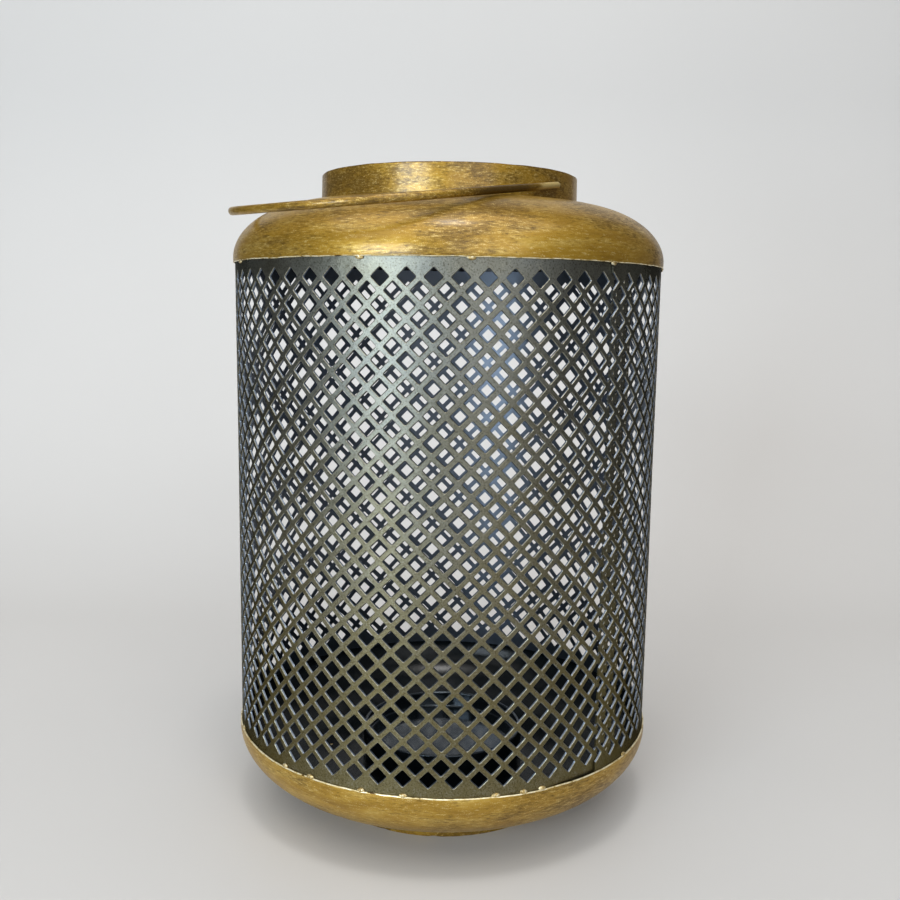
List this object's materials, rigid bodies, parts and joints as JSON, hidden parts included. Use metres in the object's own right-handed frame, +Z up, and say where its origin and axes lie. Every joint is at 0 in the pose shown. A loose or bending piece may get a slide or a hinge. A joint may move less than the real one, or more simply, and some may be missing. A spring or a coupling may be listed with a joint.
{
  "type": "candle lantern",
  "caption": "Round table candle lantern: perforated sheet drum between a domed shoulder with an open neck and a dished pan on a foot ring, with a fold-down bail and a raised candle cup.",
  "frame": {"origin": "on the drum's axis, at the lower edge of the foot ring", "axes": "+Z up along the drum's axis; X along the bail's pivots; the folded bail lies towards -Y; the sheet's lap seam is at +X"},
  "size_m": [0.2024, 0.2135, 0.2988],
  "materials": {
    "antique_brass": "antique brass paint, brushed round the piece, with dark brown wiped into it",
    "gunmetal_sheet": "satin gunmetal paint with a warm olive cast and bare edges at the punched holes",
    "dark_cup": "dark semi-gloss paint",
    "weld_bead": "small weld beads, painted over and rubbed"
  },
  "bodies": {
    "lantern": {"perforated_shell": "gunmetal_sheet", "candle_cup": "dark_cup", "shoulder": "antique_brass", "neck_collar": "antique_brass", "bottom_pan": "antique_brass", "foot_ring": "antique_brass", "top_seam_tacks": "weld_bead", "bottom_seam_tacks": "weld_bead", "neck_tacks": "weld_bead", "foot_tacks": "weld_bead", "cup_tacks": "weld_bead"},
    "bail": {"bail_handle": "antique_brass"}
  },
  "joints": [
    {"name": "bail_swing", "type": "hinge", "parent": "lantern", "child": "bail", "pos_m": [0, 0, 0.2922], "axis": [-1, 0, 0], "range_deg": [0, 196]}
  ]
}
